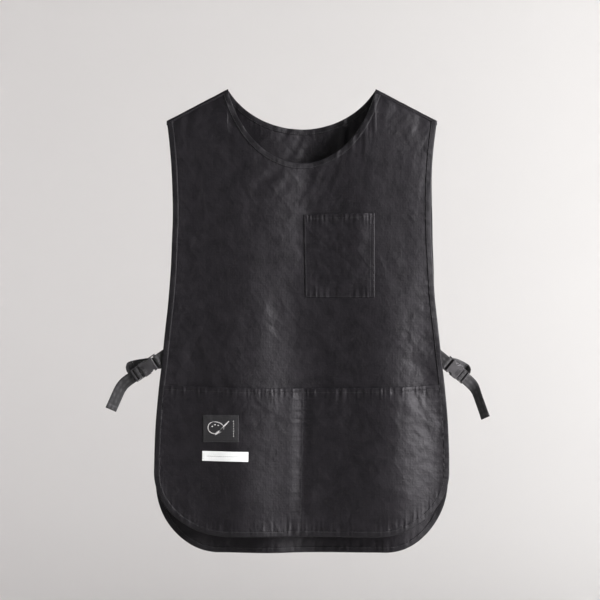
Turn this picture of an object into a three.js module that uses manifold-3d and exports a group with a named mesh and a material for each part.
// Artist smock apron: a front and a back panel hung from the shoulder seams, open down both
// sides, bound in tape all round, with a chest pocket, a divided full-width lower pocket and a
// webbing strap with a side-release buckle at each side.
//
// Millimetres, +Z up, the front faces -Y, +X is the wearer's left. The origin is on the centre
// line, midway between the panels, at the height of the neck ends of the shoulder seams.

import * as THREE from 'three';
import { mergeVertices } from 'three/addons/utils/BufferGeometryUtils.js';
import Module from 'manifold-3d';

// ---- Garment sizes -------------------------------------------------------------------------
const frontLength = 727;      // neck end of the shoulder seam to the front hem
const backLength = 757;       // the same to the back hem
const shoulderWidth = 440;    // shoulder tip to shoulder tip
const shoulderDrop = 52;      // fall of the shoulder seam from neck to tip
const chestWidth = 419;       // across the narrowest line
const chestDrop = 190;        // that line below the origin
const hipWidth = 479;         // across the widest line
const hipDrop = 610;          // that line below the origin
const neckWidth = 241;        // neck opening along the shoulder line
const frontNeckDrop = 121;    // lowest point of the front neckline
const backNeckDrop = 64;      // lowest point of the back neckline
const neckRise = 60;          // centre of the neckline's oval above the origin
const frontCorner = { across: 120, up: 105 };  // rounded hem corners, as quarter ovals
const backCorner = { across: 105, up: 120 };
const bodyDepth = 48;         // between the panels at the chest
const shoulderGap = 5;        // between the panels at the shoulder seams
const depthFall = 70;         // distance in which the panels spread to the full depth
const sideTaper = 0.2;        // share of the depth lost from the centre to the side edges

// ---- Cloth, tape and pockets -----------------------------------------------------------------
const cloth = 1.2;            // panel thickness
const clearance = 0.3;        // between pieces that touch
const sewnGap = 0.5;          // under a sewn-on piece, on the curved cloth
const bindingWidth = 9;
const bindingProud = 0.6;     // binding above the cloth on each face
const seamHeight = 3.6;       // shoulder seam allowance
const seamRise = 0.8;         // seam above the panels' top edges
const chestPocket = { centre: 61, top: -203, width: 114, height: 136 };
const lowerPocketTop = -484;
const pouch = 8;              // free depth of a pocket
const pouchSpread = 9;        // distance from a stitched edge in which a pocket opens
const wovenLabel = { x: -131, z: -551, width: 58, height: 44, tilt: 0 };
const nameLabel = { x: -124, z: -596, width: 75, height: 16, tilt: -1 };
const labelThickness = 0.8;

// ---- Straps and buckles ----------------------------------------------------------------------
const webbing = { width: 19, thickness: 1.4 };
const strapHeight = -446;     // height of the strap's anchor on the back panel
const anchorLength = 24;      // webbing sewn on behind the panel's edge
const tabLength = 15;         // buckle tab behind the front panel's edge
const tailHem = 8;            // doubled end of the tail
const tailCurl = { start: 8.25, length: 33 }; // along the tail, from straight out to hanging
const tailReturn = 0.35;      // how far the hanging tail comes back under its bar
const buckleOut = 7.5;        // socket bar outside the front edge
const buckleDepth = 16;       // socket bar in front of the middle plane
const socketSlot = 0.6;       // beside the webbing in the socket's slot, on each side
const ladderSlot = 0.4;       // the same in the plug's ladder-lock
const socket = { length: 31, thickness: 9, wall: 1.9 };
socket.width = webbing.width + 2 * (socketSlot + socket.wall);
const plugFrame = { length: 16.2, rail: 1.1, thickness: 5 };
plugFrame.width = webbing.width + 2 * (ladderSlot + plugFrame.rail);
const barRadius = 1.7;        // the socket's round bar
const barGap = 6.8;           // from that bar's middle to the socket's body, for the tab
const tongue = { width: 5.2, thickness: 3.2 };
const barFace = { over: 1.0, under: 1.3 };    // the plug's flat bars, off its mid plane
const cavityWall = 0.8;       // the socket's side wall beyond its slot's, beside the arms
const latch = { root: 30.6, tip: 12.6, width: 2.8, play: 0.9, catchInset: 1.2, thickness: 3.8 };
latch.outer = socket.width / 2 - socket.wall - cavityWall - latch.play;
latch.inner = latch.outer - latch.width;
latch.barb = socket.width / 2 - latch.catchInset;
const window = { start: 12, end: 20 };
const strapFold = {           // past, behind and above the plug's end
  reach: webbing.width / 2 + 2.5, behind: 5, rise: webbing.width / 2 - 1.5,
};
const anchorGap = 4;          // strap clear of the back panel's edge

// Each side: how far its buckle hangs below level, how far it swings back about the socket bar,
// the height of that bar, and the free tail's length and how it falls and turns.
const sides = [
  { name: 'left', sign: 1, drop: 40, swivel: 28, z: -444, tail: 80, fall: 71, turn: 45 },
  { name: 'right', sign: -1, drop: 34, swivel: 8, z: -441, tail: 70, fall: 66, turn: 14 },
];

// ---- Materials -------------------------------------------------------------------------------
function finish(color, roughness, metalness = 0) {
  return () => new THREE.MeshStandardMaterial({ color, roughness, metalness });
}
const nylon = finish(0x2e2d32, 0.62);
const tape = finish(0x26262b, 0.7);
const strapWeb = finish(0x3a3b3c, 0.75);
const plastic = finish(0x1b1b1d, 0.35);
const wovenBlack = finish(0x151517, 0.8);
const labelWhite = finish(0xe9e9e6, 0.6);

// ---- Outline of the panels -------------------------------------------------------------------
const smooth = (t) => t * t * (3 - 2 * t);
const clamp01 = (t) => Math.min(1, Math.max(0, t));
const mix = (a, b, t) => a + (b - a) * t;

// Half the width at height z: shoulder tip, in to the chest, out to the hip.
function halfWidth(z) {
  if (z > -chestDrop) {
    const t = clamp01((z + chestDrop) / (chestDrop - shoulderDrop));
    return mix(chestWidth, shoulderWidth, t * t) / 2;
  }
  const t = clamp01((-z - chestDrop) / (hipDrop - chestDrop));
  return mix(chestWidth, hipWidth, smooth(t ** 1.15)) / 2;
}

// Height of the shoulder line above x; level across the neck.
function shoulderLine(x) {
  const run = (shoulderWidth - neckWidth) / 2;
  return -shoulderDrop * clamp01((Math.abs(x) - neckWidth / 2) / run);
}

const front = { length: frontLength, neckDrop: frontNeckDrop, corner: frontCorner, sign: -1 };
const back = { length: backLength, neckDrop: backNeckDrop, corner: backCorner, sign: 1 };

// The neckline's oval, grown by the inset.
function neckOval(panel, inset) {
  const down = neckRise + panel.neckDrop;
  const across = neckWidth / 2 / Math.sqrt(1 - (neckRise / down) ** 2);
  return { across: across + inset, down: down + inset };
}

function neckline(panel, inset, x) {
  const oval = neckOval(panel, inset);
  return neckRise - oval.down * Math.sqrt(Math.max(0, 1 - (x / oval.across) ** 2));
}

// Where the neckline, inset, meets the shoulder line.
function neckCorner(panel, inset) {
  const oval = neckOval(panel, inset);
  let x = neckWidth / 2;
  for (let i = 0; i < 12; i++) {
    x = oval.across * Math.sqrt(1 - ((neckRise - shoulderLine(x)) / oval.down) ** 2);
  }
  return x;
}

function hemLine(panel, inset, x, z) {
  const across = panel.corner.across - inset;
  const up = panel.corner.up - inset;
  const past = clamp01((Math.abs(x) - (halfWidth(z) - inset - across)) / across);
  return -panel.length + inset + up * (1 - Math.sqrt(1 - past * past));
}

// A column of the panel is a share of the half width: -1 and 1 are the side edges.
function columnX(inset, share, z) {
  return share * (halfWidth(z) - inset);
}

function settle(height, start) {
  let z = start;
  for (let i = 0; i < 20; i++) z = height(z);
  return z;
}

function columnTop(panel, inset, share) {
  const atShoulder = share * (shoulderWidth / 2 - inset);
  if (Math.abs(atShoulder) >= neckCorner(panel, inset) - 1e-6) return shoulderLine(atShoulder);
  return settle((z) => neckline(panel, inset, columnX(inset, share, z)), -panel.neckDrop);
}

function columnHem(panel, inset, share) {
  return settle((z) => hemLine(panel, inset, columnX(inset, share, z), z), -panel.length);
}

// Columns from side to side: an even run across the neck, closer together towards the edges.
function columnShares(panel, inset, acrossNeck, acrossShoulder) {
  const corner = neckCorner(panel, inset) / (shoulderWidth / 2 - inset);
  const shares = [];
  for (let i = 0; i < acrossShoulder; i++) {
    const t = 1 - Math.cos((Math.PI / 2) * (i / acrossShoulder));
    shares.push(-mix(1, corner, t));
  }
  for (let i = 0; i <= acrossNeck; i++) {
    shares.push(-corner * Math.cos((Math.PI * i) / acrossNeck));
  }
  return [...shares, ...shares.slice(0, acrossShoulder).reverse().map((share) => -share)];
}

// ---- The hanging shape -----------------------------------------------------------------------
// Distance of a panel's inner face from the middle plane.
function depthAt(x, z) {
  const below = Math.max(0, shoulderLine(x) - z);
  const spread = 1 - Math.exp(-below / depthFall);
  const taper = 1 - sideTaper * Math.min(1, Math.abs(x) / (hipWidth / 2)) ** 2;
  return mix(shoulderGap / 2, bodyDepth / 2, spread * taper);
}

// A point on a panel, `out` millimetres off its inner face.
function onPanel(panel, x, z, out) {
  return new THREE.Vector3(x, panel.sign * (depthAt(x, z) + out), z);
}

// ---- Solids ----------------------------------------------------------------------------------
function volumeOf(geometry) {
  const p = geometry.getAttribute('position');
  const index = geometry.getIndex();
  const corner = [new THREE.Vector3(), new THREE.Vector3(), new THREE.Vector3()];
  let volume = 0;
  for (let i = 0; i < index.count; i += 3) {
    corner.forEach((c, k) => c.fromBufferAttribute(p, index.getX(i + k)));
    volume += corner[0].dot(corner[1].cross(corner[2])) / 6;
  }
  return volume;
}

function solidFrom(points, triangles) {
  const geometry = new THREE.BufferGeometry().setFromPoints(points);
  geometry.setIndex(triangles);
  if (volumeOf(geometry) < 0) {
    const flipped = [];
    for (let i = 0; i < triangles.length; i += 3) {
      flipped.push(triangles[i], triangles[i + 2], triangles[i + 1]);
    }
    geometry.setIndex(flipped);
  }
  geometry.computeVertexNormals();
  return geometry;
}

// A closed sheet between two layers of a grid; at(i, j, layer) gives the points.
function sheetSolid(columns, rows, at) {
  const points = [];
  const triangles = [];
  const number = (i, j, layer) => (layer * (rows + 1) + j) * (columns + 1) + i;
  const quad = (a, b, c, d) => triangles.push(a, b, c, a, c, d);
  for (const layer of [0, 1]) {
    for (let j = 0; j <= rows; j++) {
      for (let i = 0; i <= columns; i++) points.push(at(i, j, layer));
    }
  }
  for (let j = 0; j < rows; j++) {
    for (let i = 0; i < columns; i++) {
      const corners = [[i, j], [i + 1, j], [i + 1, j + 1], [i, j + 1]];
      quad(...corners.map(([a, b]) => number(a, b, 1)));
      quad(...corners.reverse().map(([a, b]) => number(a, b, 0)));
    }
  }
  const wall = (a, b) => quad(number(...a, 0), number(...b, 0), number(...b, 1), number(...a, 1));
  for (let i = 0; i < columns; i++) {
    wall([i, 0], [i + 1, 0]);
    wall([i + 1, rows], [i, rows]);
  }
  for (let j = 0; j < rows; j++) {
    wall([columns, j], [columns, j + 1]);
    wall([0, j + 1], [0, j]);
  }
  return solidFrom(points, triangles);
}

// Flat webbing along stations of { at, across, half }: a point, the direction of the width
// and half the thickness there.
function ribbonSolid(stations, width) {
  const across = [-0.5, 0, 0.5];
  const frames = stations.map((station, i) => {
    const before = stations[Math.max(0, i - 1)].at;
    const after = stations[Math.min(stations.length - 1, i + 1)].at;
    const along = after.clone().sub(before).normalize();
    const side = station.across.clone().addScaledVector(along, -station.across.dot(along));
    side.normalize();
    return { ...station, side, normal: along.clone().cross(side) };
  });
  return sheetSolid(across.length - 1, frames.length - 1, (i, j, layer) => {
    const { at, side, normal, half } = frames[j];
    const off = layer ? half : -half;
    return at.clone().addScaledVector(side, across[i] * width).addScaledVector(normal, off);
  });
}

const wasm = await Module();
wasm.setup();

function toManifold(geometry) {
  const bare = geometry.clone();
  bare.deleteAttribute('normal');
  bare.deleteAttribute('uv');
  const merged = mergeVertices(bare, 1e-4);
  const vertProperties = new Float32Array(merged.getAttribute('position').array);
  const triVerts = new Uint32Array(merged.getIndex().array);
  return new wasm.Manifold(new wasm.Mesh({ numProp: 3, vertProperties, triVerts }));
}

function fromManifold(solid) {
  const mesh = solid.getMesh();
  const geometry = new THREE.BufferGeometry();
  geometry.setAttribute('position', new THREE.BufferAttribute(mesh.vertProperties, 3));
  geometry.setIndex(new THREE.BufferAttribute(mesh.triVerts, 1));
  geometry.computeVertexNormals();
  return geometry;
}

function combine(body, added, cuts) {
  let solid = toManifold(body);
  for (const piece of added) solid = solid.add(toManifold(piece));
  for (const piece of cuts) solid = solid.subtract(toManifold(piece));
  return fromManifold(solid);
}

function block([x0, x1], [y0, y1], [z0, z1]) {
  const box = new THREE.BoxGeometry(x1 - x0, y1 - y0, z1 - z0);
  return box.translate((x0 + x1) / 2, (y0 + y1) / 2, (z0 + z1) / 2);
}

// A plate in the buckle's own plane: an outline extruded to a thickness about the mid plane.
function plate(outline, thickness) {
  const shape = new THREE.Shape(outline.map(([x, y]) => new THREE.Vector2(x, y)));
  const geometry = new THREE.ExtrudeGeometry(shape, { depth: thickness, bevelEnabled: false });
  return geometry.translate(0, 0, -thickness / 2);
}

function add(parent, name, geometry, material) {
  const mesh = new THREE.Mesh(geometry, material());
  mesh.name = name;
  parent.add(mesh);
}

// ---- Panels, bindings and shoulder seams -----------------------------------------------------
const neckColumns = 14;
const shoulderColumns = 7;
const panelRows = 14;
const panelInset = bindingWidth + clearance;

function panelSolid(panel) {
  const shares = columnShares(panel, panelInset, neckColumns, shoulderColumns);
  const tops = shares.map((share) => columnTop(panel, panelInset, share));
  const hems = shares.map((share) => columnHem(panel, panelInset, share));
  return sheetSolid(shares.length - 1, panelRows, (i, j, layer) => {
    const z = mix(hems[i], tops[i], j / panelRows);
    return onPanel(panel, columnX(panelInset, shares[i], z), z, layer * cloth);
  });
}

// The edge from one shoulder tip down the side, round the hem and up the other side.
function edgePoints(panel, inset) {
  const shares = columnShares(panel, inset, neckColumns, shoulderColumns);
  const sideRun = [];
  for (let j = panelRows; j > 0; j--) {
    const z = mix(columnHem(panel, inset, 1), shoulderLine(shoulderWidth / 2 - inset),
      j / panelRows);
    sideRun.push([columnX(inset, 1, z), z]);
  }
  const hem = shares.slice().reverse().map((share) => {
    const z = columnHem(panel, inset, share);
    return [columnX(inset, share, z), z];
  });
  return [...sideRun, ...hem, ...sideRun.reverse().map(([x, z]) => [-x, z])];
}

function neckPoints(panel, inset) {
  const shares = columnShares(panel, inset, neckColumns, shoulderColumns);
  return shares.slice(shoulderColumns, -shoulderColumns).map((share) => {
    const z = columnTop(panel, inset, share);
    return [columnX(inset, share, z), z];
  });
}

function bindingSolid(panel, pointsAt) {
  const rims = [pointsAt(panel, 0), pointsAt(panel, bindingWidth)];
  return sheetSolid(1, rims[0].length - 1, (i, j, layer) => {
    const [x, z] = rims[i][j];
    return onPanel(panel, x, z, layer ? cloth + bindingProud : -bindingProud);
  });
}

// The seam allowance lies between the two panels' top edges; a hanger rests under it.
function shoulderSeam(side) {
  const start = neckCorner(back, panelInset) + 1;
  const end = shoulderWidth / 2 - panelInset - 1;
  const half = shoulderGap / 2 - clearance;
  return sheetSolid(1, 1, (i, j, layer) => {
    const x = i ? end : start;
    const z = shoulderLine(x) + (layer ? seamRise : seamRise - seamHeight);
    return new THREE.Vector3(side * x, j ? half : -half, z);
  });
}

// ---- Pockets and labels ----------------------------------------------------------------------
const pocketBase = cloth + sewnGap;
const opened = (distance) => 1 - Math.exp(-((Math.max(0, distance) / pouchSpread) ** 2));

function chestPocketLift(x, z) {
  const { centre, top, width, height } = chestPocket;
  const toSide = width / 2 - Math.abs(x - centre);
  return pocketBase + pouch * opened(toSide) * opened(z - (top - height));
}

function lowerPocketLift(x, z) {
  const toSide = halfWidth(z) - panelInset - Math.abs(x);
  const toHem = z - hemLine(front, panelInset, x, z);
  return pocketBase + pouch * opened(toSide) * opened(toHem) * opened(Math.abs(x));
}

// Stations across a span, closer together where the cloth rises from a stitch line.
function stations(low, high, stitchedLow, stitchedHigh, middle) {
  const rise = [0, 0.45, 0.9, 1.5, 2.2].map((step) => step * pouchSpread);
  const marks = [];
  if (stitchedLow) marks.push(...rise.map((step) => low + step));
  else marks.push(low);
  for (let k = 1; k <= middle; k++) {
    const from = stitchedLow ? low + rise[4] : low;
    const to = stitchedHigh ? high - rise[4] : high;
    marks.push(mix(from, to, k / (middle + 1)));
  }
  if (stitchedHigh) marks.push(...rise.map((step) => high - step).reverse());
  else marks.push(high);
  return marks;
}

function pocketSolid(columns, rowsAt, rows, lift) {
  return sheetSolid(columns.length - 1, rows, (i, j, layer) => {
    const [x, z] = rowsAt(columns[i], j);
    return onPanel(front, x, z, lift(x, z) + layer * cloth);
  });
}

function chestPocketSolid() {
  const { centre, top, width, height } = chestPocket;
  const xs = stations(centre - width / 2, centre + width / 2, true, true, 2);
  const zs = stations(top - height, top, true, false, 3);
  return pocketSolid(xs, (x, j) => [x, zs[j]], zs.length - 1, chestPocketLift);
}

function lowerPocketSolid() {
  const inset = panelInset + clearance;
  const edge = halfWidth(lowerPocketTop) - inset;
  const half = stations(0, edge, true, true, 3).map((x) => x / edge);
  const shares = [...half.slice(1).reverse().map((share) => -share), ...half];
  const hemRows = stations(0, 1, false, false, 5);
  const rise = [0, 0.45, 0.9, 1.5, 2.2].map((step) => step * pouchSpread);
  const rows = rise.length - 1 + hemRows.length - 1;
  const rowsAt = (share, j) => {
    const hem = columnHem(front, inset, share);
    const flat = hem + rise[rise.length - 1];
    const z = j < rise.length ? hem + rise[j]
      : mix(flat, lowerPocketTop, hemRows[j - rise.length + 1]);
    return [columnX(inset, share, z), z];
  };
  return pocketSolid(shares, rowsAt, rows, lowerPocketLift);
}

function labelSolid({ x, z, width, height, tilt }) {
  const angle = THREE.MathUtils.degToRad(tilt);
  const columns = 4;
  const rows = 3;
  return sheetSolid(columns, rows, (i, j, layer) => {
    const u = (i / columns - 0.5) * width;
    const v = (j / rows - 0.5) * height;
    const px = x + u * Math.cos(angle) - v * Math.sin(angle);
    const pz = z + u * Math.sin(angle) + v * Math.cos(angle);
    const out = lowerPocketLift(px, pz) + cloth + sewnGap + layer * labelThickness;
    return onPanel(front, px, pz, out);
  });
}

// ---- Buckles ---------------------------------------------------------------------------------
// In the buckle's own frame x runs outwards from the socket's bar, y is the width and z faces
// forwards.
const cavity = { start: 9, half: socket.width / 2 - socket.wall - cavityWall, height: 5.2 };

function socketSolid() {
  const half = socket.width / 2;
  const chamfer = 2;
  const outline = [
    [-barRadius, -half], [socket.length - chamfer, -half], [socket.length, -half + chamfer],
    [socket.length, half - chamfer], [socket.length - chamfer, half], [-barRadius, half],
  ];
  const bar = new THREE.CylinderGeometry(barRadius, barRadius, socket.width - 1, 16);
  const slotHalf = webbing.width / 2 + socketSlot;
  const cheek = barRadius + 0.2;
  const cuts = [
    block([-2 * barRadius, barGap], [-slotHalf, slotHalf], [-half, half]),
    block([-2 * barRadius, barGap], [-half - 1, half + 1], [cheek, half]),
    block([-2 * barRadius, barGap], [-half - 1, half + 1], [-half, -cheek]),
    block([cavity.start, socket.length + 1], [-cavity.half, cavity.half],
      [-cavity.height / 2, cavity.height / 2]),
    block([window.start, window.end], [-half - 1, half + 1],
      [-cavity.height / 2, cavity.height / 2]),
  ];
  const body = fromManifold(cuts.reduce(
    (solid, cut) => solid.subtract(toManifold(cut)), toManifold(plate(outline, socket.thickness)),
  ));
  return combine(body, [bar], []);
}

const frameStart = socket.length + clearance;
const frameEnd = frameStart + plugFrame.length;
const ladder = { start: frameStart + 1.9, end: frameEnd - 3.1, bar: [5.5, 8] };

function plugSolid() {
  const half = plugFrame.width / 2;
  const railInside = webbing.width / 2 + ladderSlot;
  const depth = plugFrame.thickness / 2;
  const barSpan = ladder.bar.map((x) => frameStart + x);
  const outline = [
    [frameStart, -half], [frameEnd - 1, -half], [frameEnd, -half + 1], [frameEnd, half - 1],
    [frameEnd - 1, half], [frameStart, half],
  ];
  return combine(plate(outline, plugFrame.thickness), [
    block([cavity.start + 3, frameStart + 1], [-tongue.width / 2, tongue.width / 2],
      [-tongue.thickness / 2, tongue.thickness / 2]),
  ], [
    block([ladder.start, barSpan[0]], [-railInside, railInside], [-half, half]),
    block([barSpan[1], ladder.end], [-railInside, railInside], [-half, half]),
    block([barSpan[0] - 1, barSpan[1] + 1], [-railInside, railInside], [barFace.over, half]),
    block([barSpan[0] - 1, frameEnd + 1], [-railInside, railInside],
      [-depth - 1, -barFace.under]),
  ]);
}

function latchArmSolid(side) {
  const { root, tip, inner, outer, barb } = latch;
  const catchEnd = window.end - 0.5;
  const outline = [
    [root, inner], [root, outer], [catchEnd + 0.6, outer], [catchEnd, barb],
    [catchEnd - 2.6, barb], [tip, outer - 1], [tip, inner],
  ];
  const turned = side > 0 ? outline : outline.map(([x, y]) => [x, -y]).reverse();
  return plate(turned, latch.thickness);
}

// ---- Webbing ---------------------------------------------------------------------------------
const half = webbing.thickness / 2;

// Unit vectors of one buckle: out along it, across it and forwards, before and after it swings
// back about the socket's bar.
function buckleFrame({ sign, drop, swivel }) {
  const down = THREE.MathUtils.degToRad(drop);
  const backwards = THREE.MathUtils.degToRad(swivel);
  const level = new THREE.Vector3(sign * Math.cos(down), 0, -Math.sin(down));
  const facing = new THREE.Vector3(0, -1, 0);
  const across = facing.clone().cross(level);
  const turn = new THREE.Matrix4().makeRotationAxis(across, backwards);
  const out = level.clone().applyMatrix4(turn);
  return { level, facing, across, out, forwards: facing.clone().applyMatrix4(turn) };
}

function barPoint({ sign, z }) {
  return new THREE.Vector3(sign * (halfWidth(z) + buckleOut), -buckleDepth, z);
}

// The tab lies doubled behind the front panel's edge and loops round the socket's bar.
function tabSolid(side) {
  const { level, facing, across } = buckleFrame(side);
  const centre = barPoint(side);
  const radius = barRadius + clearance + half;
  const apart = half + clearance / 2;
  const path = [[-tabLength - buckleOut, apart], [-buckleOut - 4, apart], [-4.5, 1.3]];
  for (let k = 0; k <= 8; k++) {
    const angle = THREE.MathUtils.degToRad(118 - 29.5 * k);
    path.push([radius * Math.cos(angle), radius * Math.sin(angle)]);
  }
  path.push([-4.5, -1.3], [-buckleOut - 4, -apart], [-tabLength - buckleOut, -apart]);
  return ribbonSolid(path.map(([u, w]) => ({
    at: centre.clone().addScaledVector(level, u).addScaledVector(facing, w),
    across,
    half,
  })), webbing.width);
}

function edgeOfBack() {
  return new THREE.Vector3(halfWidth(strapHeight), depthAt(halfWidth(strapHeight), strapHeight),
    strapHeight);
}

// Webbing sewn inside the back panel's edge; the strap goes on from it.
function anchorSolid({ sign }) {
  const edge = edgeOfBack();
  const y = edge.y - bindingProud - clearance - half;
  const up = new THREE.Vector3(0, 0, 1);
  return ribbonSolid([anchorLength, anchorLength / 2, 0].map((inside) => ({
    at: new THREE.Vector3(sign * (edge.x - inside), y, strapHeight),
    across: up,
    half,
  })), webbing.width);
}

// From the back panel's edge out to a fold beyond the plug, back behind the plug, up through
// the ladder's inner slot, over its bar and down under the plug's end.
function strapSolid(side) {
  const { across, out, forwards } = buckleFrame(side);
  const edge = edgeOfBack();
  const centre = barPoint(side);
  const local = (x, z) => centre.clone().addScaledVector(out, x).addScaledVector(forwards, z);
  const barMiddle = frameStart + (ladder.bar[0] + ladder.bar[1]) / 2;
  const over = barFace.over + clearance + half;
  const under = -barFace.under - clearance - half;
  const behind = under - 3 * clearance - 2 * half;
  const start = new THREE.Vector3(side.sign * (edge.x + anchorGap),
    edge.y - bindingProud - clearance - half, strapHeight);
  const fold = local(frameEnd + strapFold.reach, behind - strapFold.behind);
  fold.z += strapFold.rise;
  const beforeFold = fold.clone().add(new THREE.Vector3(-2 * side.sign, 6, 4));
  const level = start.clone().lerp(beforeFold, 0.5).setZ(strapHeight - 2);
  const afterFold = local(frameEnd + 0.5 * strapFold.reach, behind - 2.6);
  afterFold.z += 0.25 * strapFold.rise;
  const sweep = new THREE.CatmullRomCurve3([start, level, beforeFold, fold, afterFold,
    local(frameEnd + 1.5, behind - 0.5)], false, 'centripetal');
  const up = new THREE.Vector3(0, 0, 1);
  const lean = across.clone().multiplyScalar(across.z > 0 ? 1 : -1);
  const steps = 18;
  const stationsOut = [];
  for (let k = 0; k <= steps; k++) {
    const t = k / steps;
    const acrossHere = up.clone().lerp(lean, smooth(t)).normalize();
    stationsOut.push({ at: sweep.getPoint(t), across: acrossHere, half });
  }
  const threaded = [
    [frameEnd - 0.5, behind], [barMiddle, behind], [barMiddle - 2.6, behind + 0.5],
    [barMiddle - 3.3, behind + 2], [barMiddle - 3.3, -0.4], [barMiddle - 2.5, over - 0.5],
    [barMiddle - 1.2, over], [barMiddle + 1.2, over], [barMiddle + 2.5, over - 0.5],
    [barMiddle + 3.3, 0.2], [barMiddle + 4.1, -1.4], [frameEnd - 3.3, under],
    [frameEnd - 2.4, under],
  ].map(([x, z]) => ({ at: local(x, z), across: lean, half }));
  return ribbonSolid([...stationsOut, ...threaded], webbing.width);
}

// The free tail leaves under the plug's end, falls and turns, and ends in a doubled hem.
function tailSolid(side) {
  const { across, out, forwards } = buckleFrame(side);
  const lean = across.clone().multiplyScalar(across.z > 0 ? 1 : -1);
  const fall = THREE.MathUtils.degToRad(side.fall);
  const turn = THREE.MathUtils.degToRad(side.turn);
  const down = new THREE.Vector3(side.sign * Math.cos(fall), -tailReturn * out.y,
    -Math.sin(fall)).normalize();
  const flat = new THREE.Vector3(side.sign * Math.sin(fall), 0, Math.cos(fall));
  const turned = flat.multiplyScalar(Math.cos(turn)).setY(-Math.sin(turn));
  const steps = 16;
  const step = side.tail / steps;
  const at = barPoint(side).addScaledVector(out, frameEnd - 1.7)
    .addScaledVector(forwards, -barFace.under - clearance - half);
  const list = [];
  for (let k = 0; k <= steps; k++) {
    const t = smooth(clamp01((k * step - tailCurl.start) / tailCurl.length));
    const doubled = k * step > side.tail - tailHem;
    list.push({
      at: at.clone(),
      across: lean.clone().lerp(turned, t).normalize(),
      half: doubled ? 2 * half : half,
    });
    at.addScaledVector(out.clone().lerp(down, t).normalize(), step);
  }
  return ribbonSolid(list, webbing.width);
}

// ---- Assembly --------------------------------------------------------------------------------
const apron = new THREE.Group();

add(apron, 'front_panel', panelSolid(front), nylon);
add(apron, 'back_panel', panelSolid(back), nylon);
add(apron, 'front_neck_binding', bindingSolid(front, neckPoints), tape);
add(apron, 'back_neck_binding', bindingSolid(back, neckPoints), tape);
add(apron, 'front_edge_binding', bindingSolid(front, edgePoints), tape);
add(apron, 'back_edge_binding', bindingSolid(back, edgePoints), tape);
add(apron, 'chest_pocket', chestPocketSolid(), nylon);
add(apron, 'lower_pocket', lowerPocketSolid(), nylon);
add(apron, 'woven_label', labelSolid(wovenLabel), wovenBlack);
add(apron, 'name_label', labelSolid(nameLabel), labelWhite);

for (const side of sides) {
  const { out, across, forwards } = buckleFrame(side);
  const buckle = new THREE.Group();
  buckle.applyMatrix4(new THREE.Matrix4().makeBasis(out, across, forwards)
    .setPosition(barPoint(side)));
  apron.add(buckle);
  add(apron, `${side.name}_shoulder_seam`, shoulderSeam(side.sign), tape);
  add(apron, `${side.name}_buckle_tab`, tabSolid(side), strapWeb);
  add(apron, `${side.name}_strap_anchor`, anchorSolid(side), strapWeb);
  add(apron, `${side.name}_side_strap`, strapSolid(side), strapWeb);
  add(apron, `${side.name}_strap_tail`, tailSolid(side), strapWeb);
  add(buckle, `${side.name}_buckle_socket`, socketSolid(), plastic);
  add(buckle, `${side.name}_buckle_plug`, plugSolid(), plastic);
  add(buckle, `${side.name}_latch_arm_a`, latchArmSolid(1), plastic);
  add(buckle, `${side.name}_latch_arm_b`, latchArmSolid(-1), plastic);
}

export default apron;
